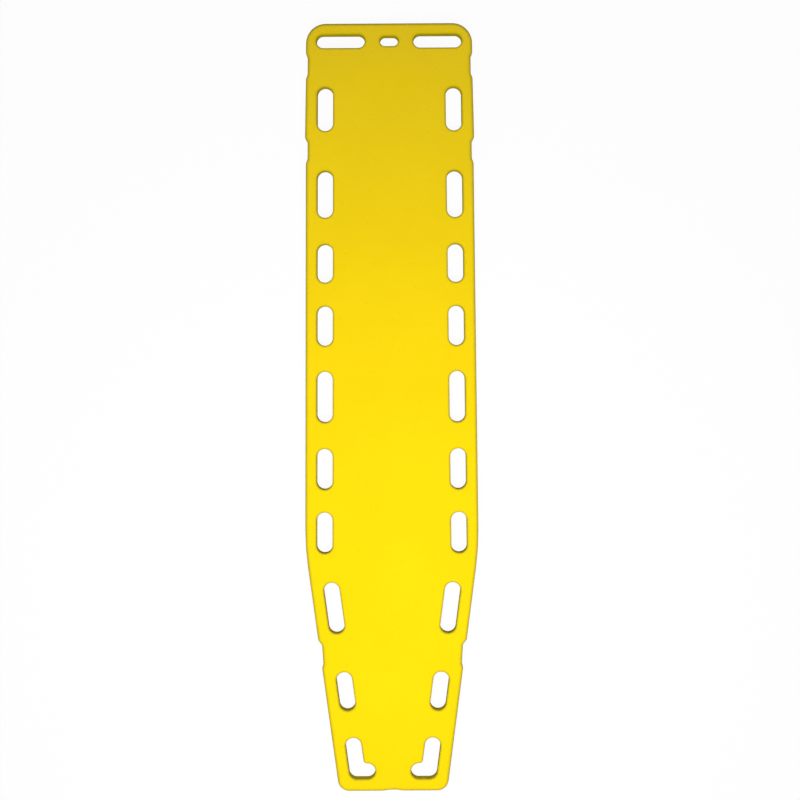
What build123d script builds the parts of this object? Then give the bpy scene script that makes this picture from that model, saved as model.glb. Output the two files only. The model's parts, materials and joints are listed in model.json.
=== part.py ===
from build123d import *
import math
import os

# A rigid spine board for lifting and carrying a patient, in millimetres.
# X runs across the board, +Y points to the head end and +Z points up.
# The origin is on the floor under the middle of the board, whose runners stand on z = 0.
# A station is a place along the board, as a share of half its length from the middle,
# and is positive towards the head.

# Outline seen from above
board_length = 1828.8
head_width = 395.4
hip_width = 413.2
foot_width = 257.6
hip_station = -0.367
head_corner_radius = 47.7
hip_radius = 650.0
foot_corner_radius = 27.4
foot_dip_width = 46.0
foot_dip_depth = 3.6
foot_dip_radius = 80.0

# Shallow recesses in the side edges, one at each place where a strap goes round the board
side_recess_stations = (0.890, 0.671)
side_recess_length = 59.4
side_recess_depth = 4.2
leg_recess_station = -0.651
leg_recess_length = 91.0
leg_recess_ramp = 19.0
recess_long_ramp = 24.0
recess_short_ramp = 10.0
recess_soft_radius = 60.0
recess_firm_radius = 15.0

# Slots along the sides and the legs: station of the middle, overall length
side_slots = (
    (0.779, 105.4),
    (0.556, 109.9),
    (0.376, 89.1),
    (0.212, 90.4),
    (0.027, 119.3),
    (-0.161, 96.9),
    (-0.327, 98.2),
)
leg_slots = (
    (-0.524, 121.9),
    (-0.740, 94.2),
)
slot_width = 36.4
side_slot_inset = 46.4
leg_slot_inset = 48.9

# Slots across the head end, and the bent slot at each foot corner
head_slot_inset = 42.6
head_slot_spacing = 230.4
head_slot_length = 115.0
head_slot_width = 32.0
centre_slot_length = 43.0
centre_slot_width = 24.0
foot_slot_inset = 47.4
foot_slot_reach = 108.4
foot_slot_toe = 25.0
foot_slot_corner_radius = 8.0
foot_slot_corner_share = 0.7

# Heights and walls
deck_thickness = 30.0
pan_depth = 8.0
runner_height = 12.0
wall = 3.2
top_edge_radius = 6.0
bottom_edge_radius = 8.0
slot_edge_radius = 5.0

# Hollow of the bed, which runs out to nothing over bed_ramp at both ends
bed_depth = 4.0
bed_margin = 4.0
bed_ramp = 100.0
bed_head_inset = 94.4
bed_foot_inset = 154.4
bed_overrun = 10.0
bed_headroom = 12.0

# Pans under the deck, with a strap channel between them at each edge recess
pan_margin = 9.0
pan_draft = 30.0
pan_corner_radius = 22.0
pan_foot_gap = 28.0
channel_margin = 7.0

# Runners under the pans
runner_inset = 27.0
runner_width = 32.0
runner_draft = 20.0
runner_end_gap = 10.0

# Stiffening tubes in the foam
tube_diameter = 12.0
tube_wall = 1.5
tube_slot_gap = 14.0
inner_tube_share = 0.44
tube_head_inset = 164.4
inner_tube_foot_inset = 164.4
outer_tube_foot_inset = 314.4
cap_flange = 3.0
cap_spigot = 12.0

# Foam filling plug and breather plugs
fill_hole_diameter = 30.0
breather_hole_diameter = 16.0
plug_flange_overlap = 3.0
plug_flange_thickness = 2.0
plug_rim_height = 1.6
plug_rim_overlap = 0.6
plug_wall = 2.0
fill_plug_inset = 100.0

# Clearances
foam_clearance = 0.2
tube_clearance = 0.2
spigot_clearance = 0.2
plug_clearance = 0.2

# Places that follow from the sizes above
head_y = board_length / 2
foot_y = -board_length / 2
hip_y = hip_station * head_y
side_slope = (head_width - hip_width) / 2 / (head_y - hip_y)
leg_slope = (hip_width - foot_width) / 2 / (hip_y - foot_y)
pan_z = runner_height
deck_z = pan_z + pan_depth
top_z = deck_z + deck_thickness
parting_z = deck_z + deck_thickness / 2
slots_reach = max(side_slot_inset, leg_slot_inset) + slot_width / 2
bed_inset = slots_reach + slot_edge_radius + bed_margin
pan_inset = slots_reach + slot_edge_radius + pan_margin
tube_z = (deck_z + top_z - bed_depth) / 2
tube_head_y = head_y - tube_head_inset


def edge_slope(y):
    """How fast the half width grows with y, on the straight side or on the leg."""
    return side_slope if y > hip_y else leg_slope


def half_width(y):
    """Half the board's width at y, with no recess or rounded corner."""
    return hip_width / 2 + (y - hip_y) * edge_slope(y)


def side_recess(station):
    """Corners of one side recess from head to foot, each with its radius."""
    head_end = station * head_y + side_recess_length / 2
    foot_end = head_end - side_recess_length
    floor_head = head_end - recess_long_ramp
    floor_foot = foot_end + recess_short_ramp
    return [
        (half_width(head_end), head_end, recess_soft_radius),
        (half_width(floor_head) - side_recess_depth, floor_head, recess_soft_radius),
        (half_width(floor_foot) - side_recess_depth, floor_foot, recess_firm_radius),
        (half_width(foot_end), foot_end, recess_firm_radius),
    ]


def leg_recess():
    """Corners of the recess in the leg, whose floor runs straight on to meet the taper."""
    head_end = leg_recess_station * head_y + leg_recess_length / 2
    foot_end = head_end - leg_recess_length
    floor_x = half_width(foot_end)
    return [
        (half_width(head_end), head_end, recess_firm_radius),
        (floor_x, head_end - leg_recess_ramp, recess_firm_radius),
        (floor_x, foot_end, recess_soft_radius),
    ]


def board_outline():
    """The board seen from above, with its corners and recesses rounded."""
    right = [(head_width / 2, head_y, head_corner_radius)]
    for station in side_recess_stations:
        right += side_recess(station)
    right.append((hip_width / 2, hip_y, hip_radius))
    right += leg_recess()
    right.append((foot_width / 2, foot_y, foot_corner_radius))
    right.append((foot_dip_width / 2, foot_y, foot_dip_radius))
    left = [(-x, y, radius) for x, y, radius in reversed(right)]
    corners = right + [(0, foot_y + foot_dip_depth, foot_dip_radius)] + left
    return rounded_polygon(corners)


def rounded_polygon(corners):
    """A face from corners given as x, y and radius."""
    points = [(x, y) for x, y, radius in corners]
    radii = [radius for x, y, radius in corners]
    return make_face(FilletPolyline(*points, radius=radii, close=True))


def strip(points, width):
    """A strip of even width with round ends, along straight runs from point to point."""
    shape = Sketch()
    for start, end in zip(points, points[1:]):
        run = Vector(*end) - Vector(*start)
        middle = (Vector(*end) + Vector(*start)) / 2
        turn = math.degrees(math.atan2(run.Y, run.X))
        shape += Pos(middle) * Rot(0, 0, turn) * SlotOverall(run.length + width, width)
    return shape


def edge_slot(station, length, inset):
    """A slot that runs beside the right edge of the board."""
    y = station * head_y
    lean = math.atan(edge_slope(y))
    x = half_width(y) - inset / math.cos(lean)
    reach = (length - slot_width) / 2
    step = (reach * math.sin(lean), reach * math.cos(lean))
    ends = [(x + step[0], y + step[1]), (x - step[0], y - step[1])]
    return strip(ends, slot_width)


def foot_slot():
    """The bent slot that follows the right foot corner."""
    low_y = foot_y + foot_slot_inset
    high_y = foot_y + foot_slot_reach
    inset = leg_slot_inset / math.cos(math.atan(leg_slope))
    corner = (half_width(low_y) - inset, low_y)
    leg_end = (half_width(high_y) - inset, high_y)
    toe_end = (corner[0] - foot_slot_toe, low_y)
    bent = strip([leg_end, corner, toe_end], slot_width)
    elbow = (corner[0] - slot_width / 2, corner[1] + slot_width / 2)
    inner_corner = bent.vertices().sort_by_distance(elbow)[0]
    room = min(edge.length for edge in bent.edges() if inner_corner in edge.vertices())
    return fillet(inner_corner, min(foot_slot_corner_radius, foot_slot_corner_share * room))


def slot_faces():
    """Every slot seen from above."""
    right = [edge_slot(station, length, side_slot_inset) for station, length in side_slots]
    right += [edge_slot(station, length, leg_slot_inset) for station, length in leg_slots]
    right.append(foot_slot())
    head_slot_y = head_y - head_slot_inset
    head_slot = SlotOverall(head_slot_length, head_slot_width)
    right.append(Pos(head_slot_spacing / 2, head_slot_y) * head_slot)
    left = [mirror(face, about=Plane.YZ) for face in right]
    centre = Pos(0, head_slot_y) * SlotOverall(centre_slot_length, centre_slot_width)
    return right + left + [centre]


def flat_face(body, end):
    """The lowest face of a body for end 0, or the highest for end -1."""
    return body.faces().filter_by(Axis.Z).sort_by(Axis.Z)[end]


def break_rim(body, end, radius, inset):
    """Round the rim of the outer form, or cut an inner form back to keep the wall."""
    rim = flat_face(body, end).edges()
    if inset:
        return chamfer(rim, radius - inset)
    return fillet(rim, radius)


def deck(outline, slots, inset):
    """The flat deck, with every face moved inwards by inset."""
    body = extrude(offset(outline, amount=-inset), amount=deck_thickness - 2 * inset)
    body = Pos(0, 0, deck_z + inset) * body
    body = break_rim(body, -1, top_edge_radius, inset)
    body = break_rim(body, 0, bottom_edge_radius, inset)
    for slot in slots:
        hole = offset(slot, amount=inset) if inset else slot
        body -= Pos(0, 0, deck_z) * extrude(hole, amount=deck_thickness)
    if not inset:
        for end in (0, -1):
            rims = [wire.edges() for wire in flat_face(body, end).inner_wires()]
            body = fillet(ShapeList(edge for rim in rims for edge in rim), slot_edge_radius)
    return body


def bed_section(y, lift):
    """Section of the bed's hollow at y: an arc below and a straight lid above."""
    half = half_width(y) - bed_inset
    radius = (half**2 + bed_depth**2) / (2 * bed_depth)
    wide = half + bed_overrun
    rise = radius - math.sqrt(radius**2 - wide**2) - bed_depth
    floor = ThreePointArc((-wide, rise), (0, -bed_depth), (wide, rise))
    lid = Polyline((wide, rise), (wide, bed_headroom), (-wide, bed_headroom), (-wide, rise))
    plane = Plane(origin=(0, y, top_z + lift), x_dir=(1, 0, 0), z_dir=(0, -1, 0))
    return plane * make_face(floor + lid)


def bed_hollow():
    """The space above the bed, which rises out of the deck at its head and foot."""
    head_end = head_y - bed_head_inset
    foot_end = foot_y + bed_foot_inset
    sections = [
        bed_section(head_end, bed_depth),
        bed_section(head_end - bed_ramp, 0),
        bed_section(hip_y, 0),
        bed_section(foot_end + bed_ramp, 0),
        bed_section(foot_end, bed_depth),
    ]
    return loft(sections, ruled=True)


def pan_spans():
    """Head and foot ends of the pans, which stop short of each strap channel."""
    channels = []
    for station in side_recess_stations:
        channels.append((station * head_y, side_recess_length))
    channels.append((leg_recess_station * head_y, leg_recess_length))
    spans = []
    for (upper, upper_length), (lower, lower_length) in zip(channels, channels[1:]):
        head_end = upper - upper_length / 2 - channel_margin
        foot_end = lower + lower_length / 2 + channel_margin
        spans.append((head_end, foot_end))
    last_head = channels[-1][0] - channels[-1][1] / 2 - channel_margin
    last_foot = foot_y + foot_slot_reach + slot_width / 2 + pan_foot_gap
    return spans + [(last_head, last_foot)]


def line_beside_edge(inset, head_end, foot_end):
    """Points at an even distance from the right edge, with a corner at the hip if it is passed."""
    stations = [head_end, foot_end]
    if foot_end < hip_y < head_end:
        stations.insert(1, hip_y)
    return [(half_width(y) - inset, y) for y in stations]


def pad(face, z, depth, draft, inset, root):
    """A drafted block that hangs from z and reaches up by root into what carries it."""
    face = offset(face, amount=-inset) if inset else face
    face = Pos(0, 0, z) * face
    return extrude(face, amount=depth - inset, dir=(0, 0, -1), taper=draft) + extrude(
        face, amount=root + inset
    )


def pan(span, inset):
    """One pan, with every face moved inwards by inset."""
    right = line_beside_edge(pan_inset, *span)
    left = [(-x, y) for x, y in reversed(right)]
    corners = [(x, y, hip_radius if y == hip_y else pan_corner_radius) for x, y in right + left]
    return pad(rounded_polygon(corners), deck_z, pan_depth, pan_draft, inset, wall)


def runner(span, inset):
    """The right-hand runner of one pan, with every face moved inwards by inset."""
    end_gap = pan_depth + runner_end_gap + runner_width / 2
    path = line_beside_edge(pan_inset + runner_inset, span[0] - end_gap, span[1] + end_gap)
    return pad(strip(path, runner_width), pan_z, runner_height, runner_draft, inset, wall)


def envelope(outline, slots, inset):
    """The moulded form of the whole board, with every face moved inwards by inset."""
    body = deck(outline, slots, inset) - Pos(0, 0, -inset) * bed_hollow()
    for span in pan_spans():
        right_runner = runner(span, inset)
        body += pan(span, inset)
        body += right_runner
        body += mirror(right_runner, about=Plane.YZ)
    return body


def tube_lines():
    """Name, x, head end and foot end of each stiffening tube."""
    inner_foot = foot_y + inner_tube_foot_inset
    outer_foot = foot_y + outer_tube_foot_inset
    outer_x = min(half_width(tube_head_y), half_width(outer_foot)) - slots_reach - tube_slot_gap
    inner_x = outer_x * inner_tube_share
    return [
        ("inner_tube_right", inner_x, tube_head_y, inner_foot),
        ("inner_tube_left", -inner_x, tube_head_y, inner_foot),
        ("outer_tube_right", outer_x, tube_head_y, outer_foot),
        ("outer_tube_left", -outer_x, tube_head_y, outer_foot),
    ]


def rod(x, head_end, foot_end, diameter):
    """A round bar along the board at the tubes' height."""
    plane = Plane(origin=(x, foot_end, tube_z), x_dir=(1, 0, 0), z_dir=(0, 1, 0))
    return extrude(plane * Circle(diameter / 2), amount=head_end - foot_end)


def tube(x, head_end, foot_end):
    """One stiffening tube."""
    bore = tube_diameter - 2 * tube_wall
    return rod(x, head_end, foot_end, tube_diameter) - rod(x, head_end, foot_end, bore)


def end_cap(x, y, outward):
    """A cap that closes a tube's end at y, with its flange on the outward side, +1 or -1."""
    spigot = tube_diameter - 2 * tube_wall - 2 * spigot_clearance
    flange = sorted((y, y + outward * cap_flange), reverse=True)
    plug = sorted((y, y - outward * cap_spigot), reverse=True)
    return rod(x, *flange, tube_diameter) + rod(x, *plug, spigot)


def plug_places():
    """Name, y and hole diameter of each plug in the pan floors, all on the centre line."""
    head_pan, body_pan, foot_pan = pan_spans()
    return [
        ("breather_plug_head", sum(head_pan) / 2, breather_hole_diameter),
        ("fill_plug", body_pan[1] + fill_plug_inset, fill_hole_diameter),
        ("breather_plug_foot", sum(foot_pan) / 2, breather_hole_diameter),
    ]


def turned(profile, y):
    """A round piece on the centre line at y, from points of radius and height."""
    outline = Plane.XZ * make_face(Polyline(*profile, close=True))
    return Pos(0, y, 0) * revolve(outline, Axis.Z)


def snap_plug(y, diameter):
    """A hollow plug whose flange lies on the pan floor and whose rim snaps in behind the skin."""
    shank = diameter / 2 - plug_clearance
    flange = diameter / 2 + plug_flange_overlap
    rim = diameter / 2 + plug_rim_overlap
    seat = pan_z + wall + plug_clearance
    crown = seat + plug_rim_height
    profile = [
        (0, pan_z - plug_flange_thickness),
        (flange - plug_flange_thickness / 2, pan_z - plug_flange_thickness),
        (flange, pan_z - plug_flange_thickness / 2),
        (flange, pan_z),
        (shank, pan_z),
        (shank, seat),
        (rim, seat),
        (shank, crown),
        (shank - plug_wall, crown),
        (shank - plug_wall, pan_z),
        (0, pan_z),
    ]
    return turned(profile, y)


def plug_pocket(y, diameter):
    """The room that a snap plug needs in the foam."""
    radius = diameter / 2 + plug_rim_overlap + plug_clearance
    crown = pan_z + wall + plug_rim_height + 2 * plug_clearance
    return turned([(0, pan_z), (radius, pan_z), (radius, crown), (0, crown)], y)


def plug_hole(y, diameter):
    """The hole for a snap plug in the lower skin."""
    pocket = [(0, 0), (diameter / 2, 0), (diameter / 2, parting_z), (0, parting_z)]
    return turned(pocket, y)


def skins(outline, slots):
    """The upper and the lower skin, which meet at the parting plane."""
    shell = envelope(outline, slots, 0) - envelope(outline, slots, wall)
    for name, y, diameter in plug_places():
        shell -= plug_hole(y, diameter)
    parting = Plane.XY.offset(parting_z)
    return split(shell, parting, keep=Keep.TOP), split(shell, parting, keep=Keep.BOTTOM)


def foam(outline, slots):
    """The foam core, with room for the tubes, their caps and the plugs."""
    core = envelope(outline, slots, wall + foam_clearance)
    bore = tube_diameter + 2 * tube_clearance
    reach = cap_flange + tube_clearance
    for name, x, head_end, foot_end in tube_lines():
        core -= rod(x, head_end + reach, foot_end - reach, bore)
    for name, y, diameter in plug_places():
        core -= plug_pocket(y, diameter)
    return core


def build():
    """Every piece of the board, by name."""
    outline = board_outline()
    slots = slot_faces()
    pieces = {}
    pieces["top_skin"], pieces["bottom_skin"] = skins(outline, slots)
    pieces["foam_core"] = foam(outline, slots)
    for name, x, head_end, foot_end in tube_lines():
        pieces[name] = tube(x, head_end, foot_end)
        pieces[name + "_head_cap"] = end_cap(x, head_end, 1)
        pieces[name + "_foot_cap"] = end_cap(x, foot_end, -1)
    for name, y, diameter in plug_places():
        pieces[name] = snap_plug(y, diameter)
    return pieces


os.makedirs("parts", exist_ok=True)
for name, piece in build().items():
    export_step(piece, f"parts/{name}.step")
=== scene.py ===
import json
import math

import bmesh
import bpy
import numpy as np
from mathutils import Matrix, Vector
from mathutils.geometry import delaunay_2d_cdt


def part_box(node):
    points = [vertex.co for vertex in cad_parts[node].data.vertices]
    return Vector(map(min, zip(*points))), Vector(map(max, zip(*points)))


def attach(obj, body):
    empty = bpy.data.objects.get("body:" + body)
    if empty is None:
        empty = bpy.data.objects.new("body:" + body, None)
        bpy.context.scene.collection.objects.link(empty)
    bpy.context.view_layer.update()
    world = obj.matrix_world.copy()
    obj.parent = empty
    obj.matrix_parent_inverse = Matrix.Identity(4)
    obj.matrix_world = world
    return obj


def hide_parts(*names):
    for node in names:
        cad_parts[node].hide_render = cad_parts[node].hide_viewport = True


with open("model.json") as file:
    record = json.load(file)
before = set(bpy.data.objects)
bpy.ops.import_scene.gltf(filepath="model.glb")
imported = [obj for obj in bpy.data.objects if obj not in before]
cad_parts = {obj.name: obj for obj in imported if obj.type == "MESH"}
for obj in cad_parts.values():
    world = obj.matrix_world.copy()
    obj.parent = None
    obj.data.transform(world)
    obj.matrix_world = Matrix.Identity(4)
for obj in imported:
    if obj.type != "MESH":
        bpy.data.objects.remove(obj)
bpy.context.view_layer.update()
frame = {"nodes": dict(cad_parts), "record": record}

# Lengths are in metres where a name has no other unit, in the frame of the part: +Y to the head
# end, +Z up. A station is a place along the board, as a share of half its length from the middle.
MM = 0.001

# Outline of the board, read from the frame where it holds it
skin_low, skin_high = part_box("top_skin")
HEAD_Y = skin_high.y
FOOT_Y = skin_low.y
TOP_Z = skin_high.z
PARTING_Z = skin_low.z
DECK_Z = 2 * PARTING_Z - TOP_Z
HEAD_WIDTH = 395.4 * MM
HIP_WIDTH = 413.2 * MM
FOOT_WIDTH = 257.6 * MM
HIP_Y = -0.367 * HEAD_Y
HEAD_CORNER = 47.7 * MM
HIP_BLEND = 650 * MM
FOOT_CORNER = 27.4 * MM
FOOT_DIP_WIDTH = 46 * MM
FOOT_DIP_DEPTH = 3.6 * MM
FOOT_DIP_BLEND = 80 * MM

# Strap recesses in the edges: station of the middle, and the outline's flare at the head end
SIDE_RECESSES = ((0.890, 0.0), (0.669, 2 * MM))
SIDE_RECESS_LENGTH = 61 * MM
SIDE_RECESS_DEPTH = 4.2 * MM
LEG_RECESS = -0.644
LEG_RECESS_LENGTH = 67 * MM
LEG_RECESS_DEPTH = 3 * MM
RECESS_RAMP = 11 * MM
RECESS_BLEND = 11 * MM

# Slots along the edges: station of the middle and length. The record's mounts give the others
EDGE_SLOTS = (
    (0.777, 104.4 * MM),
    (0.555, 111.2 * MM),
    (0.375, 91.0 * MM),
    (0.212, 94.0 * MM),
    (0.027, 120.6 * MM),
    (-0.161, 96.2 * MM),
    (-0.327, 97.0 * MM),
    (-0.523, 121.6 * MM),
    (-0.740, 92.2 * MM),
)
EDGE_SLOT_WIDTH = 37.4 * MM
SIDE_SLOT_INSET = 46.2 * MM
LEG_SLOT_INSET = 48.5 * MM
FOOT_SLOT_LOW_Y = FOOT_Y + 47.4 * MM
FOOT_SLOT_HIGH_Y = FOOT_Y + 108.4 * MM
FOOT_SLOT_TOE = 25 * MM
FOOT_SLOT_ELBOW = 8 * MM

# Section. The board's own rim and side have a part of the painted shade that the slots' walls have
WALL = 3.2 * MM
TOP_ROUND = 9 * MM
UNDER_ROUND = 8 * MM
SLOT_ROUND = 6 * MM
SEAM = 0.5 * MM
RIM_SUPPORT = 0.9 * MM
EDGE_SHADE = 0.9
SIDE_SHADE = 0.3

# Hollow of the bed, deepest along the middle. BED_FALL shapes its rise to the sides
BED_DEPTH = 4 * MM
BED_INSET = 76.1 * MM
BED_HEAD_Y = HEAD_Y - 94.4 * MM
BED_FOOT_Y = FOOT_Y + 154.4 * MM
BED_RAMP = 100 * MM
BED_FALL = 1.5

# Pans and runners, and the strap channels between the pans: station of the middle and length
CHANNELS = ((0.890, 59.4 * MM), (0.671, 59.4 * MM), (-0.651, 91 * MM))
PAN_Z = 12 * MM
PAN_INSET = 81.1 * MM
PAN_DRAFT = math.radians(30)
PAN_CORNER = 22 * MM
PAN_FOOT_Y = FOOT_Y + 154.6 * MM
CHANNEL_MARGIN = 7 * MM
PAN_ROUND = 3 * MM
PAN_ROOT = 3 * MM
BLOCK_SUPPORT = 0.4 * MM
RUNNER_INSET = PAN_INSET + 27 * MM
RUNNER_WIDTH = 32 * MM
RUNNER_DRAFT = math.radians(20)
RUNNER_END_GAP = 34 * MM
RUNNER_ROUND = 3 * MM
RUNNER_ROOT = 3 * MM

# Radius of the hole for each plug
PLUG_HOLES = {"breather_plug_head": 8 * MM, "fill_plug": 15 * MM, "breather_plug_foot": 8 * MM}

# Mesh
ARC_STEP = math.radians(7.5)
LEAST_ARC_STEPS = 2
CIRCLE_STEPS = 48
RIM_STEPS = 6
BLOCK_STEPS = 4
LONG_STEP = 24 * MM
GRID_STEP = 14 * MM
CEILING_GRID_STEP = 2 * GRID_STEP
DECK_GRID_STEP = 3 * GRID_STEP
GRID_CLEARANCE = 0.6
SAME_POINT = 0.01 * MM
MERGED_POINT = 0.002 * MM
LEAST_HEIGHT = 0.001 * MM
FIELD_PRECISION = 1e-7
CREASE = math.radians(40)

# Colours, most of them as two tones that a pattern mixes, and the middle range of a pattern
YELLOW = ((0.965, 0.690, 0.0010), (0.990, 0.712, 0.0016))
# Painted shade: the dark olive that the rims and the slots' walls are mixed towards
RIM_SHADE = (0.52, 0.45, 0.015)
FOAM_CREAM = ((0.62, 0.52, 0.30), (0.82, 0.74, 0.50))
ALUMINIUM = ((0.58, 0.59, 0.61), (0.74, 0.75, 0.76))
CAP_BLACK = ((0.012, 0.012, 0.013), (0.022, 0.022, 0.023))
PLUG_YELLOW = ((0.78, 0.60, 0.006), (0.84, 0.66, 0.010))
NOISE_MIDDLE = (0.3, 0.7)

# Camera, straight above the board's upper half. A pixel covers PIXEL at the height SCALE_Z
PIXEL = 2.3828 * MM
PICTURE_WIDTH_PX = 800
BOARD_MIDDLE_PX = (391.15, 407.05)
CAMERA_HEIGHT = 2.9
CAMERA_Y = 120 * MM
SCALE_Z = 44 * MM
ROLL = math.radians(0.335)
SENSOR_WIDTH_MM = 36

# Light and floor. GLOSS_AXIS points away from the pale part of what gloss shows
WORLD_LIGHT = 0.185
GLOSS_AXIS = (0, -1, 0.25)
GLOSS_SPAN = (-0.15, 0.2)
KEY_PLACE = (0, -0.5, 2.1)
KEY_AIM = (0, -0.5, 0)
KEY_SIZE = 1.0
KEY_POWER = 45.6
FLOOR_SIZE = 40.0
FLOOR_WHITE = 0.95
FLOOR_TO_LIGHT = (0.25, 0.25, 0.25)
FLOOR_TO_CAMERA = (0.95, 0.95, 0.95)


def slope(y):
    """How fast the half width grows with y."""
    if y > HIP_Y:
        return (HEAD_WIDTH - HIP_WIDTH) / 2 / (HEAD_Y - HIP_Y)
    return (HIP_WIDTH - FOOT_WIDTH) / 2 / (HIP_Y - FOOT_Y)


def half_width(y):
    """Half the board's width at y, with no recess or rounded corner."""
    return HIP_WIDTH / 2 + (y - HIP_Y) * slope(y)


class Loop:
    """A closed run of points, counter-clockwise, each with its normal pointing out of it."""

    def __init__(self, points, normals):
        self.points = np.array(points)
        self.normals = np.array(normals)

    def moved_out(self, amount):
        """The points, each moved along its normal."""
        return self.points + self.normals * amount


def rounded_loop(corners):
    """A loop from corners given as x, y and radius, in counter-clockwise order."""
    points, normals = [], []
    count = len(corners)
    for i, (x, y, radius) in enumerate(corners):
        here = np.array((x, y))
        before = np.array(corners[i - 1][:2])
        after = np.array(corners[(i + 1) % count][:2])
        into = (here - before) / np.linalg.norm(here - before)
        out = (after - here) / np.linalg.norm(after - here)
        turn = math.atan2(into[0] * out[1] - into[1] * out[0], float(into @ out))
        cut = radius * math.tan(abs(turn) / 2)
        side = math.copysign(1, turn)
        centre = here - into * cut + np.array((-into[1], into[0])) * radius * side
        steps = max(LEAST_ARC_STEPS, math.ceil(abs(turn) / ARC_STEP))
        start = np.array((into[1], -into[0]))
        for step in range(steps + 1):
            angle = turn * step / steps
            normal = np.array(
                (
                    start[0] * math.cos(angle) - start[1] * math.sin(angle),
                    start[0] * math.sin(angle) + start[1] * math.cos(angle),
                )
            )
            points.append(centre + normal * radius * side)
            normals.append(normal)
    return spaced_loop(points, normals)


def spaced_loop(points, normals):
    """The same loop with doubled points dropped and long straight runs divided."""
    kept_points, kept_normals = [], []
    for i, point in enumerate(points):
        gap = np.linalg.norm(points[i - 1] - point)
        if gap < SAME_POINT:
            continue
        pieces = math.ceil(gap / LONG_STEP)
        for piece in range(1, pieces):
            share = piece / pieces
            kept_points.append(points[i - 1] * (1 - share) + point * share)
            kept_normals.append(normals[i])
        kept_points.append(point)
        kept_normals.append(normals[i])
    return Loop(kept_points, kept_normals)


def side_recess(station, flare):
    """Corners of one side recess from foot to head, each with its radius."""
    head_end = station * HEAD_Y + SIDE_RECESS_LENGTH / 2
    foot_end = head_end - SIDE_RECESS_LENGTH
    floor_head = head_end - RECESS_RAMP
    floor_foot = foot_end + RECESS_RAMP
    return [
        (half_width(foot_end), foot_end, RECESS_BLEND),
        (half_width(floor_foot) - SIDE_RECESS_DEPTH, floor_foot, RECESS_BLEND),
        (half_width(floor_head) - SIDE_RECESS_DEPTH, floor_head, RECESS_BLEND),
        (half_width(head_end) + flare, head_end, RECESS_BLEND),
    ]


def leg_recess():
    """Corners of the recess in the leg from foot to head."""
    head_end = LEG_RECESS * HEAD_Y + LEG_RECESS_LENGTH / 2
    foot_end = head_end - LEG_RECESS_LENGTH
    low_x = half_width(foot_end)
    return [
        (low_x, foot_end, RECESS_BLEND),
        (low_x - LEG_RECESS_DEPTH, foot_end + RECESS_RAMP, RECESS_BLEND),
        (low_x, head_end - RECESS_RAMP, RECESS_BLEND),
        (half_width(head_end), head_end, RECESS_BLEND),
    ]


def board_loop():
    """The board's outline."""
    right = [(FOOT_DIP_WIDTH / 2, FOOT_Y, FOOT_DIP_BLEND), (FOOT_WIDTH / 2, FOOT_Y, FOOT_CORNER)]
    right += leg_recess()
    right.append((HIP_WIDTH / 2, HIP_Y, HIP_BLEND))
    for station, flare in reversed(SIDE_RECESSES):
        right += side_recess(station, flare)
    right.append((HEAD_WIDTH / 2, HEAD_Y, HEAD_CORNER))
    left = [(-x, y, radius) for x, y, radius in reversed(right)]
    return rounded_loop([(0, FOOT_Y + FOOT_DIP_DEPTH, FOOT_DIP_BLEND)] + right + left)


def crossing(point, along, other, other_along):
    """Where two lines meet, each given by a point and a direction."""
    matrix = np.array((along, -np.array(other_along))).T
    step = np.linalg.solve(matrix, np.array(other) - np.array(point))
    return np.array(point) + np.array(along) * step[0]


def slot_loop(centre, along, length, radius):
    """A straight slot with round ends."""
    across = np.array((along[1], -along[0]))
    end = along * length / 2
    side = across * radius
    corners = [centre + side - end, centre + side + end, centre - side + end, centre - side - end]
    return rounded_loop([(*corner, radius) for corner in corners])


def bent_slot_loop(centre, along, length, radius, side):
    """The foot slot: a leg along the board's edge and a toe towards the middle."""
    across = np.array((along[1], -along[0])) * side
    reach = along * (length / 2 - radius)
    elbow = centre - reach
    leg_end = centre + along * length / 2
    inward = np.array((-side, 0))
    toe_end = elbow + inward * (FOOT_SLOT_TOE + radius)
    low = elbow + np.array((0, -radius))
    high = elbow + np.array((0, radius))
    outer_elbow = crossing(elbow + across * radius, along, low, inward)
    inner_elbow = crossing(elbow - across * radius, along, high, inward)
    corners = [
        (*outer_elbow, radius),
        (*(leg_end + across * radius), radius),
        (*(leg_end - across * radius), radius),
        (*inner_elbow, FOOT_SLOT_ELBOW),
        (*(toe_end + np.array((0, radius))), radius),
        (*(toe_end + np.array((0, -radius))), radius),
    ]
    return rounded_loop(corners if side > 0 else corners[::-1])


def edge_slot_place(y, side):
    """Middle and direction of a slot beside one edge at y."""
    inset = SIDE_SLOT_INSET if y > HIP_Y else LEG_SLOT_INSET
    lean = math.atan(slope(y))
    centre = np.array((side * (half_width(y) - inset / math.cos(lean)), y))
    return centre, np.array((side * math.sin(lean), math.cos(lean)))


def slot_loops():
    """Every slot, those along the edges first."""
    loops = []
    radius = EDGE_SLOT_WIDTH / 2
    foot_slot_y = (FOOT_SLOT_LOW_Y + FOOT_SLOT_HIGH_Y) / 2
    foot_slot_rise = FOOT_SLOT_HIGH_Y - FOOT_SLOT_LOW_Y
    for side in (-1, 1):
        for station, length in EDGE_SLOTS:
            loops.append(slot_loop(*edge_slot_place(station * HEAD_Y, side), length, radius))
        centre, along = edge_slot_place(foot_slot_y, side)
        length = foot_slot_rise / along[1] + 2 * radius
        loops.append(bent_slot_loop(centre, along, length, radius, side))
    for mount in frame["record"]["mounts"]:
        if not mount["name"].startswith("head_slot"):
            continue
        x, y, _ = mount["pos_m"]
        spacing = mount["dims"].get("spacing_x_mm", 0) * MM
        for place in sorted({x - spacing / 2, x + spacing / 2}):
            length = mount["dims"]["slot_length_mm"] * MM
            end_radius = mount["dims"]["hole_r_mm"] * MM
            loops.append(slot_loop(np.array((place, y)), np.array((1.0, 0.0)), length, end_radius))
    return loops


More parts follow.
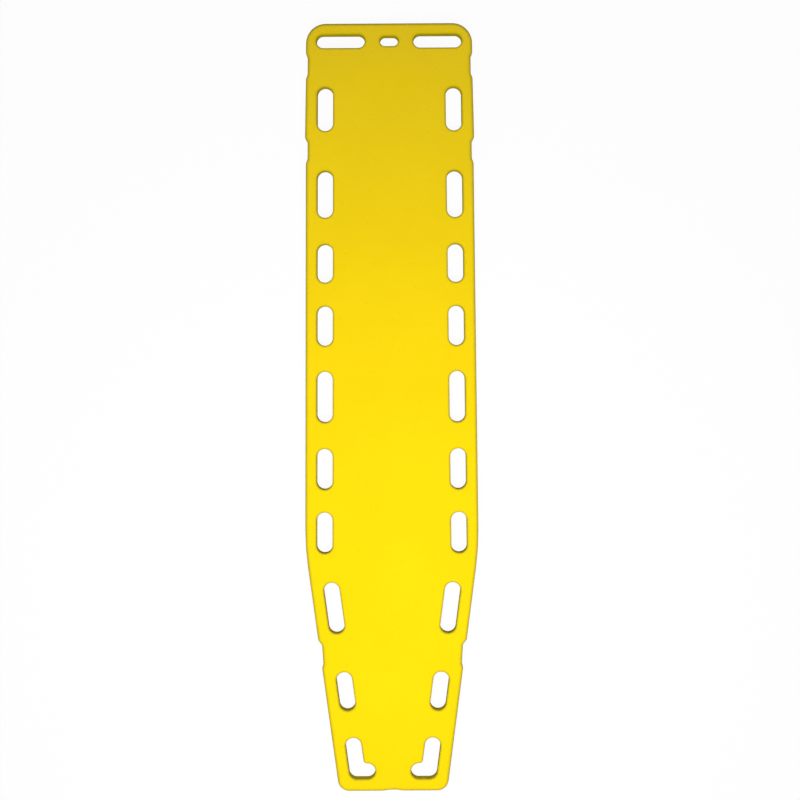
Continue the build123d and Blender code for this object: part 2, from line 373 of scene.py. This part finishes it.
def line_beside_edge(inset, head_end, foot_end):
    """Points set in from the right edge by inset, from foot to head."""
    places = [foot_end, head_end]
    if foot_end < HIP_Y < head_end:
        places.insert(1, HIP_Y)
    return [(half_width(y) - inset, y) for y in places]


def pan_spans():
    """Head and foot ends of each pan."""
    channels = [(station * HEAD_Y, length) for station, length in CHANNELS]
    heads = [y - length / 2 - CHANNEL_MARGIN for y, length in channels]
    feet = [y + length / 2 + CHANNEL_MARGIN for y, length in channels[1:]] + [PAN_FOOT_Y]
    return list(zip(heads, feet))


def pan_loop(span):
    """Outline of one pan where it leaves the deck."""
    right = line_beside_edge(PAN_INSET, *span)
    corners = [(x, y, HIP_BLEND if y == HIP_Y else PAN_CORNER) for x, y in right]
    left = [(-x, y, radius) for x, y, radius in reversed(corners)]
    return rounded_loop(corners + left)


def runner_loop(span, side):
    """Outline of one runner where it leaves the pan."""
    path = line_beside_edge(RUNNER_INSET, span[0] - RUNNER_END_GAP, span[1] + RUNNER_END_GAP)
    path = [np.array((side * x, y)) for x, y in path]
    half = RUNNER_WIDTH / 2
    first = (path[1] - path[0]) / np.linalg.norm(path[1] - path[0])
    last = (path[-1] - path[-2]) / np.linalg.norm(path[-1] - path[-2])
    right_first = np.array((first[1], -first[0])) * half
    right_last = np.array((last[1], -last[0])) * half
    foot = path[0] - first * half
    head = path[-1] + last * half
    corners = [(*(foot + right_first), half), (*(head + right_last), half)]
    corners += [(*(head - right_last), half), (*(foot - right_first), half)]
    if len(path) == 3:
        right_bend = crossing(path[0] + right_first, first, path[2] + right_last, last)
        left_bend = crossing(path[0] - right_first, first, path[2] - right_last, last)
        corners.insert(1, (*right_bend, HIP_BLEND))
        corners.insert(4, (*left_bend, HIP_BLEND))
    return rounded_loop(corners)


def circle_loop(centre, radius):
    """A round loop."""
    turns = [2 * math.pi * i / CIRCLE_STEPS for i in range(CIRCLE_STEPS)]
    normals = [np.array((math.cos(turn), math.sin(turn))) for turn in turns]
    return Loop([centre + normal * radius for normal in normals], normals)


def quarter(radius):
    """Offset and height along a quarter of a circle, from its top to its side."""
    turns = [math.pi / 2 - math.pi / 2 * i / RIM_STEPS for i in range(RIM_STEPS + 1)]
    return [(radius * math.cos(turn), radius * math.sin(turn)) for turn in turns]


def inside(points, loop):
    """Which points lie inside a loop. A level side is never crossed, so any height will do for it."""
    x, y = points[:, 0][:, None], points[:, 1][:, None]
    ax, ay = loop[:, 0][None, :], loop[:, 1][None, :]
    bx, by = np.roll(loop[:, 0], -1)[None, :], np.roll(loop[:, 1], -1)[None, :]
    spans = (ay > y) != (by > y)
    height = np.where(by == ay, 1, by - ay)
    left = x < (bx - ax) * (y - ay) / height + ax
    return (spans & left).sum(axis=1) % 2 == 1


class Skin:
    """A mesh in the making, from rings of points, bands between them and filled fields.

    rims holds each point's share of the rim's painted shade.
    """

    def __init__(self):
        self.points = []
        self.faces = []
        self.rims = []

    def ring(self, loop, out, z, rim=0.0):
        """A ring of the loop, moved outwards by out and lifted to z."""
        first = len(self.points)
        flat = loop.moved_out(out)
        self.points += [(x, y, z) for x, y in flat]
        self.rims += [rim] * len(flat)
        return list(range(first, first + len(flat)))

    def band(self, rings, flip):
        """Quads between each ring and the next."""
        for lower, upper in zip(rings, rings[1:]):
            for i in range(len(lower)):
                j = (i + 1) % len(lower)
                quad = (lower[i], lower[j], upper[j], upper[i])
                self.faces.append(quad[::-1] if flip else quad)

    def sweep(self, loop, profile, flip):
        """A band from a profile of outward moves and heights. Returns its first and last ring."""
        rings = [self.ring(loop, *step) for step in profile]
        self.band(rings, flip)
        return rings[0], rings[-1]

    def field(self, outer, holes, height, flip, step=None):
        """Fills the space inside a ring and outside others, with inner points if step is given.

        A triangle flatter than LEAST_HEIGHT is left out.
        """
        rings = [outer] + holes
        flat = [np.array([self.points[i][:2] for i in ring]) for ring in rings]
        names = [i for ring in rings for i in ring]
        edges = []
        start = 0
        for ring in rings:
            count = len(ring)
            edges += [(start + i, start + (i + 1) % count) for i in range(count)]
            start += count
        places = [Vector(point) for loop in flat for point in loop]
        if step:
            for point in self.inner_points(flat, step):
                names.append(len(self.points))
                self.points.append((*point, height(*point)))
                self.rims.append(0.0)
                places.append(Vector(point))
        made = delaunay_2d_cdt(places, edges, [], 0, FIELD_PRECISION)
        verts, _, faces, origins, _, _ = made
        corners = np.array([[tuple(verts[i]) for i in face] for face in faces])
        middles = corners.mean(axis=1)
        keep = inside(middles, flat[0])
        for hole in flat[1:]:
            keep &= ~inside(middles, hole)
        sides = np.roll(corners, -1, axis=1) - corners
        longest = np.linalg.norm(sides, axis=2).max(axis=1)
        doubled_area = np.abs(sides[:, 0, 0] * sides[:, 1, 1] - sides[:, 0, 1] * sides[:, 1, 0])
        keep &= doubled_area > LEAST_HEIGHT * longest
        for face, kept in zip(faces, keep):
            if kept:
                triangle = tuple(names[origins[i][0]] for i in face)
                self.faces.append(triangle[::-1] if flip else triangle)

    def inner_points(self, flat, step):
        """Points of a grid that lie well inside a field."""
        low, high = flat[0].min(axis=0), flat[0].max(axis=0)
        half_x = int(high[0] / step)
        ys = np.arange(low[1] + step, high[1], step)
        grid = np.array([(i * step, y) for y in ys for i in range(-half_x, half_x + 1)])
        keep = inside(grid, flat[0])
        for hole in flat[1:]:
            keep &= ~inside(grid, hole)
        edge = np.concatenate(flat)
        kept = []
        for point in grid[keep]:
            if np.abs(edge - point).sum(axis=1).min() > step * GRID_CLEARANCE:
                kept.append(tuple(point))
        return kept

    def piece(self, name):
        """The finished object."""
        mesh = bpy.data.meshes.new(name)
        mesh.from_pydata(self.points, [], self.faces)
        # Each point's share of the painted shade on rims and slot walls
        rim = mesh.attributes.new("rim", "FLOAT", "POINT")
        rim.data.foreach_set("value", np.array(self.rims, np.float32))
        work = bmesh.new()
        work.from_mesh(mesh)
        bmesh.ops.remove_doubles(work, verts=work.verts, dist=MERGED_POINT)
        for face in work.faces:
            face.smooth = True
        for edge in work.edges:
            edge.smooth = edge.calc_face_angle(0) < CREASE
        work.to_mesh(mesh)
        work.free()
        thing = bpy.data.objects.new(name, mesh)
        bpy.context.scene.collection.objects.link(thing)
        normals = thing.modifiers.new("even_normals", "WEIGHTED_NORMAL")
        normals.keep_sharp = True
        return thing


def smooth(share):
    """Eases from 0 to 1."""
    share = min(max(share, 0), 1)
    return share * share * (3 - 2 * share)


def bed_drop(x, y):
    """How far the bed's hollow lies under the rails."""
    half = half_width(y) - BED_INSET
    across = max(0, 1 - (x / half) ** 2)
    along = smooth((BED_HEAD_Y - y) / BED_RAMP) * smooth((y - BED_FOOT_Y) / BED_RAMP)
    return BED_DEPTH * across ** BED_FALL * along


def rim_profile(radius, face_z, up, grow):
    """From a flat face over a rounded rim to the wall. grow is -1 at the outline, 1 at a slot.

    Each step is a move out of the loop, a height and a share of the rim's painted shade.
    """
    profile = [(grow * (radius + RIM_SUPPORT), face_z, 0.0)]
    for across, rise in quarter(radius):
        shade_share = across / radius * (1.0 if grow > 0 else EDGE_SHADE)
        profile.append((grow * (radius - across), face_z - up * (radius - rise), shade_share))
    return profile


def seam_profile(up, grow):
    """From the wall over the small groove at the parting plane to the skin's inner wall."""
    # Painted shade on the wall and groove: all of it in a slot, a part of it on the board's side
    shade_share = 1.0 if grow > 0 else SIDE_SHADE
    return [
        (0, PARTING_Z + up * 2 * SEAM, shade_share),
        (0, PARTING_Z + up * SEAM, shade_share),
        (grow * SEAM, PARTING_Z, shade_share),
        (grow * WALL, PARTING_Z, 0.0),
    ]


def make_top_skin():
    """The upper half of the shell."""
    skin = Skin()
    board, slots = board_loop(), slot_loops()
    ceiling = TOP_Z - WALL
    faces, ceilings = [], []
    rims = [(board, TOP_ROUND, -1)] + [(slot, SLOT_ROUND, 1) for slot in slots]
    for loop, radius, grow in rims:
        profile = rim_profile(radius, TOP_Z, 1, grow) + seam_profile(1, grow)
        profile.append((grow * WALL, ceiling, 0.0))
        first, last = skin.sweep(loop, profile, flip=grow < 0)
        faces.append(first)
        ceilings.append(last)
    skin.field(faces[0], faces[1:], lambda x, y: TOP_Z - bed_drop(x, y), False, GRID_STEP)
    skin.field(
        ceilings[0], ceilings[1:], lambda x, y: ceiling - bed_drop(x, y), True, CEILING_GRID_STEP
    )
    return skin.piece("board_upper_skin")


def block_profile(depth, draft, root_z, root, edge, inset):
    """From the face that carries a drafted block, down its wall to its own face.

    With an inset it lies that far inside the block, and its corners are sharp.
    """
    lean = math.tan(draft)
    half_turn = math.tan((math.pi / 2 - draft) / 2)
    if inset:
        low = root_z - depth + inset
        low_out = -inset - (root_z - low) * lean
        return [(-inset, root_z + inset, 0.0), (-inset, root_z, 0.0), (low_out, low, 0.0)]
    steep = math.pi / 2 - draft
    root_out = root * half_turn
    profile = [(root_out + BLOCK_SUPPORT, root_z, 0.0)]
    for i in range(BLOCK_STEPS + 1):
        turn = steep * i / BLOCK_STEPS
        profile.append((root_out - root * math.sin(turn), root_z - root * (1 - math.cos(turn)), 0.0))
    end_out = -depth * lean - edge * half_turn
    for i in range(BLOCK_STEPS + 1):
        turn = steep * (1 - i / BLOCK_STEPS)
        out = end_out + edge * math.sin(turn)
        # Painted shade on the block's rounded edge, most at the middle of its turn
        shade_share = math.sin(math.pi * i / BLOCK_STEPS)
        profile.append((out, root_z - depth + edge * (1 - math.cos(turn)), shade_share))
    profile.append((end_out - BLOCK_SUPPORT, root_z - depth, 0.0))
    return profile


def make_bottom_skin():
    """The lower half of the shell, with its pans, strap channels and runners."""
    skin = Skin()
    board, slots = board_loop(), slot_loops()
    outer, inner = [], []
    rims = [(board, UNDER_ROUND, -1)] + [(slot, SLOT_ROUND, 1) for slot in slots]
    for loop, radius, grow in rims:
        profile = rim_profile(radius, DECK_Z, -1, grow) + seam_profile(-1, grow)
        profile.append((grow * WALL, DECK_Z + WALL, 0.0))
        first, last = skin.sweep(loop, profile, flip=grow > 0)
        outer.append(first)
        inner.append(last)
    holes = {}
    for name, radius in PLUG_HOLES.items():
        low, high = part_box(name)
        holes[name] = circle_loop(np.array(((low.x + high.x) / 2, (low.y + high.y) / 2)), radius)
    for span in pan_spans():
        pan = pan_loop(span)
        runners = [runner_loop(span, side) for side in (-1, 1)]
        plugs = [loop for loop in holes.values() if span[1] < loop.points[0][1] < span[0]]
        bore = [(0, PAN_Z, 0.0), (0, PAN_Z + WALL, 0.0)]
        bores = [skin.sweep(loop, bore, flip=True) for loop in plugs]
        for inset, flip, collection in ((0, True, outer), (WALL, False, inner)):
            profile = block_profile(DECK_Z - PAN_Z, PAN_DRAFT, DECK_Z, PAN_ROOT, PAN_ROUND, inset)
            root, edge = skin.sweep(pan, profile, flip)
            collection.append(root)
            feet = []
            for loop in runners:
                profile = block_profile(PAN_Z, RUNNER_DRAFT, PAN_Z, RUNNER_ROOT, RUNNER_ROUND, inset)
                top, sole = skin.sweep(loop, profile, flip)
                feet.append(top)
                skin.field(sole, [], None, flip)
            ends = [bore[1 if inset else 0] for bore in bores]
            skin.field(edge, feet + ends, None, flip)
    skin.field(outer[0], outer[1:], lambda x, y: DECK_Z, True, DECK_GRID_STEP)
    skin.field(inner[0], inner[1:], None, False)
    return skin.piece("board_lower_skin")


def new_material(name):
    """A material with its node tree and its shader."""
    material = bpy.data.materials.new(name)
    material.use_nodes = True
    tree = material.node_tree
    shader = tree.nodes["Principled BSDF"]
    return material, tree, shader


def noise(tree, place, scale, detail, roughness=0.5):
    """A noise texture in the part's own frame."""
    node = tree.nodes.new("ShaderNodeTexNoise")
    node.inputs["Scale"].default_value = scale
    node.inputs["Detail"].default_value = detail
    node.inputs["Roughness"].default_value = roughness
    tree.links.new(place, node.inputs["Vector"])
    return node.outputs["Fac"]


def spread(tree, value, span, out):
    """Maps a value from one span to another."""
    node = tree.nodes.new("ShaderNodeMapRange")
    node.inputs["From Min"].default_value = span[0]
    node.inputs["From Max"].default_value = span[1]
    node.inputs["To Min"].default_value = out[0]
    node.inputs["To Max"].default_value = out[1]
    tree.links.new(value, node.inputs["Value"])
    return node.outputs["Result"]


def blended(tree, share, first, second):
    """A colour between two, by a share."""
    node = tree.nodes.new("ShaderNodeMix")
    node.data_type = "RGBA"
    tree.links.new(share, node.inputs["Factor"])
    for socket, colour in ((node.inputs["A"], first), (node.inputs["B"], second)):
        if isinstance(colour, tuple):
            socket.default_value = (*colour, 1)
        else:
            tree.links.new(colour, socket)
    return node.outputs["Result"]


def blended_value(tree, share, first, second):
    """A value between two, by a share."""
    node = tree.nodes.new("ShaderNodeMix")
    tree.links.new(share, node.inputs["Factor"])
    tree.links.new(first, node.inputs["A"])
    node.inputs["B"].default_value = second
    return node.outputs["Result"]


def product(tree, first, second):
    """Two values multiplied."""
    node = tree.nodes.new("ShaderNodeMath")
    node.operation = "MULTIPLY"
    tree.links.new(first, node.inputs[0])
    tree.links.new(second, node.inputs[1])
    return node.outputs["Value"]


def bumped(tree, layers):
    """Bumps laid over each other, each given as height, distance and strength."""
    normal = None
    for height, distance, strength in layers:
        node = tree.nodes.new("ShaderNodeBump")
        node.inputs["Distance"].default_value = distance
        node.inputs["Strength"].default_value = strength
        tree.links.new(height, node.inputs["Height"])
        if normal:
            tree.links.new(normal, node.inputs["Normal"])
        normal = node.outputs["Normal"]
    return normal


def own_place(tree):
    """Coordinates of the part's own frame."""
    return tree.nodes.new("ShaderNodeTexCoord").outputs["Object"]


def board_plastic():
    """Satin yellow polyethylene, as it comes out of the mould, duller at its rims, and darker and
    browner at its rims and slot walls from painted shade.
    """
    material, tree, shader = new_material("yellow_polyethylene")
    place = own_place(tree)
    clouds = spread(tree, noise(tree, place, scale=5, detail=3), (0.35, 0.65), (0, 1))
    colour = blended(tree, clouds, *YELLOW)
    # Painted shade: the rim attribute darkens rims and slot walls towards the dark olive rim colour,
    # in patches
    rim = tree.nodes.new("ShaderNodeAttribute")
    rim.attribute_name = "rim"
    rim_share = rim.outputs["Fac"]
    patches = noise(tree, place, scale=30, detail=5, roughness=0.6)
    shade_share = product(tree, rim_share, spread(tree, patches, NOISE_MIDDLE, (0.5, 0.9)))
    tree.links.new(blended(tree, shade_share, colour, RIM_SHADE), shader.inputs["Base Color"])
    streaks = noise(tree, place, scale=40, detail=4, roughness=0.6)
    haze = spread(tree, streaks, NOISE_MIDDLE, (0.26, 0.34))
    tree.links.new(blended_value(tree, rim_share, haze, 0.6), shader.inputs["Roughness"])
    shine = spread(tree, rim_share, (0, 1), (0.4, 0.1))
    tree.links.new(shine, shader.inputs["Specular IOR Level"])
    layers = [
        (noise(tree, place, scale=14, detail=2), 0.6 * MM, 0.25),
        (noise(tree, place, scale=420, detail=3, roughness=0.6), 0.08 * MM, 0.35),
        (noise(tree, place, scale=2200, detail=2), 0.03 * MM, 0.25),
    ]
    tree.links.new(bumped(tree, layers), shader.inputs["Normal"])
    return material


def foam_finish():
    """Cream rigid foam with fine closed cells, with painted shade in the hollow of each cell."""
    material, tree, shader = new_material("rigid_foam")
    place = own_place(tree)
    cells = tree.nodes.new("ShaderNodeTexVoronoi")
    cells.inputs["Scale"].default_value = 900
    tree.links.new(place, cells.inputs["Vector"])
    depth = cells.outputs["Distance"]
    # Painted shade: each cell is darker towards its deep middle
    shade = spread(tree, depth, (0, 0.7), (0, 1))
    tree.links.new(blended(tree, shade, *FOAM_CREAM), shader.inputs["Base Color"])
    dull = spread(tree, noise(tree, place, scale=60, detail=3), NOISE_MIDDLE, (0.85, 0.97))
    tree.links.new(dull, shader.inputs["Roughness"])
    tree.links.new(bumped(tree, [(depth, 0.4 * MM, 0.6)]), shader.inputs["Normal"])
    return material


def tube_finish():
    """Drawn aluminium with fine lines along the tube."""
    material, tree, shader = new_material("drawn_aluminium")
    stretch = tree.nodes.new("ShaderNodeMapping")
    stretch.inputs["Scale"].default_value = (1, 0.01, 1)
    tree.links.new(own_place(tree), stretch.inputs["Vector"])
    lines = noise(tree, stretch.outputs["Vector"], scale=3000, detail=3)
    tree.links.new(blended(tree, lines, *ALUMINIUM), shader.inputs["Base Color"])
    satin = spread(tree, lines, NOISE_MIDDLE, (0.28, 0.42))
    tree.links.new(satin, shader.inputs["Roughness"])
    tree.links.new(bumped(tree, [(lines, 0.02 * MM, 0.4)]), shader.inputs["Normal"])
    shader.inputs["Metallic"].default_value = 1.0
    return material


def moulded_finish(name, tones, grain):
    """A small moulded plastic piece with a fine matt grain."""
    material, tree, shader = new_material(name)
    place = own_place(tree)
    mottle = noise(tree, place, scale=90, detail=3)
    tree.links.new(blended(tree, mottle, *tones), shader.inputs["Base Color"])
    dull = spread(tree, noise(tree, place, scale=300, detail=2), NOISE_MIDDLE, (0.42, 0.56))
    tree.links.new(dull, shader.inputs["Roughness"])
    pits = noise(tree, place, scale=grain, detail=3)
    tree.links.new(bumped(tree, [(pits, 0.05 * MM, 0.4)]), shader.inputs["Normal"])
    return material


def give(thing, material):
    """Puts one material on a whole object."""
    thing.data.materials.clear()
    thing.data.materials.append(material)


def make_camera():
    """A camera that looks straight down, turned a little so that the head leans left.

    Its picture is shifted so that the board lies where the photograph has it.
    """
    data = bpy.data.cameras.new("camera")
    width = PICTURE_WIDTH_PX * PIXEL
    data.sensor_width = SENSOR_WIDTH_MM
    data.lens = data.sensor_width * (CAMERA_HEIGHT - SCALE_Z) / width
    right = (PICTURE_WIDTH_PX / 2 - BOARD_MIDDLE_PX[0]) * PIXEL
    up = (BOARD_MIDDLE_PX[1] - PICTURE_WIDTH_PX / 2) * PIXEL
    data.shift_y = (up - CAMERA_Y) / width
    camera = bpy.data.objects.new("camera", data)
    turn = -ROLL
    x = right * math.cos(turn) - CAMERA_Y * math.sin(turn)
    y = right * math.sin(turn) + CAMERA_Y * math.cos(turn)
    camera.location = (x, y, CAMERA_HEIGHT)
    camera.rotation_euler = (0, 0, turn)
    bpy.context.scene.collection.objects.link(camera)
    bpy.context.scene.camera = camera


def make_lamp(name, place, size, power, target):
    """A soft square lamp that faces its target and shows neither in the picture nor in the gloss."""
    data = bpy.data.lights.new(name, "AREA")
    data.shape = "SQUARE"
    data.size = size
    data.energy = power
    data.cycles.use_multiple_importance_sampling = False
    lamp = bpy.data.objects.new(name, data)
    lamp.location = place
    lamp.rotation_euler = (Vector(target) - Vector(place)).to_track_quat("-Z", "Y").to_euler()
    lamp.visible_camera = False
    lamp.visible_glossy = False
    bpy.context.scene.collection.objects.link(lamp)


def make_world():
    """A dome that is dim as light, pale towards the head end in gloss, and white to the camera."""
    world = bpy.data.worlds.new("studio")
    world.use_nodes = True
    tree = world.node_tree
    tree.nodes.clear()
    out = tree.nodes.new("ShaderNodeOutputWorld")
    direction = tree.nodes.new("ShaderNodeTexCoord").outputs["Generated"]
    towards = tree.nodes.new("ShaderNodeVectorMath")
    towards.operation = "DOT_PRODUCT"
    towards.inputs[1].default_value = GLOSS_AXIS
    tree.links.new(direction, towards.inputs[0])
    gloss = spread(tree, towards.outputs["Value"], GLOSS_SPAN, (1, 0))
    path = tree.nodes.new("ShaderNodeLightPath")
    shade = WORLD_LIGHT
    rays = (("Is Glossy Ray", gloss), ("Is Transmission Ray", 1.0), ("Is Camera Ray", 1.0))
    for ray, strength in rays:
        step = tree.nodes.new("ShaderNodeMix")
        tree.links.new(path.outputs[ray], step.inputs["Factor"])
        for socket, value in ((step.inputs["A"], shade), (step.inputs["B"], strength)):
            if isinstance(value, float):
                socket.default_value = value
            else:
                tree.links.new(value, socket)
        shade = step.outputs["Result"]
    light = tree.nodes.new("ShaderNodeBackground")
    light.inputs["Color"].default_value = (1, 1, 1, 1)
    tree.links.new(shade, light.inputs["Strength"])
    tree.links.new(light.outputs[0], out.inputs["Surface"])
    bpy.context.scene.world = world


def make_floor():
    """A pale floor that keeps a soft shadow, is near white to the camera and clear from below."""
    mesh = bpy.data.meshes.new("floor")
    half = FLOOR_SIZE / 2
    corners = [(-half, -half, 0), (half, -half, 0), (half, half, 0), (-half, half, 0)]
    mesh.from_pydata(corners, [], [(0, 1, 2, 3)])
    floor = bpy.data.objects.new("floor", mesh)
    bpy.context.scene.collection.objects.link(floor)
    material = bpy.data.materials.new("pale_floor")
    material.use_nodes = True
    tree = material.node_tree
    tree.nodes.clear()
    out = tree.nodes.new("ShaderNodeOutputMaterial")
    path = tree.nodes.new("ShaderNodeLightPath")
    matt = tree.nodes.new("ShaderNodeBsdfDiffuse")
    pale = blended(tree, path.outputs["Is Camera Ray"], FLOOR_TO_LIGHT, FLOOR_TO_CAMERA)
    tree.links.new(pale, matt.inputs["Color"])
    white = tree.nodes.new("ShaderNodeEmission")
    white.inputs["Strength"].default_value = 1.0
    clear = tree.nodes.new("ShaderNodeBsdfTransparent")
    side = tree.nodes.new("ShaderNodeNewGeometry")
    share = spread(tree, path.outputs["Is Camera Ray"], (0, 1), (0, FLOOR_WHITE))
    seen = tree.nodes.new("ShaderNodeMixShader")
    tree.links.new(share, seen.inputs["Fac"])
    tree.links.new(matt.outputs[0], seen.inputs[1])
    tree.links.new(white.outputs[0], seen.inputs[2])
    faced = tree.nodes.new("ShaderNodeMixShader")
    tree.links.new(side.outputs["Backfacing"], faced.inputs["Fac"])
    tree.links.new(seen.outputs[0], faced.inputs[1])
    tree.links.new(clear.outputs[0], faced.inputs[2])
    tree.links.new(faced.outputs[0], out.inputs["Surface"])
    give(floor, material)


def dress():
    """Puts the fine skins in the place of the plain ones, and a finish on every other node."""
    shell = board_plastic()
    for piece, node in ((make_top_skin(), "top_skin"), (make_bottom_skin(), "bottom_skin")):
        give(piece, shell)
        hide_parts(node)
        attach(piece, "root")
    foam = foam_finish()
    metal = tube_finish()
    black = moulded_finish("black_cap", CAP_BLACK, grain=900)
    yellow = moulded_finish("yellow_plug", PLUG_YELLOW, grain=700)
    for name, node in frame["nodes"].items():
        if name == "foam_core":
            give(node, foam)
        elif name.endswith("_cap"):
            give(node, black)
        elif "tube" in name:
            give(node, metal)
        elif "plug" in name:
            give(node, yellow)


dress()
make_camera()
make_world()
make_floor()
make_lamp("key", KEY_PLACE, KEY_SIZE, KEY_POWER, KEY_AIM)
bpy.context.scene.view_settings.view_transform = "Standard"
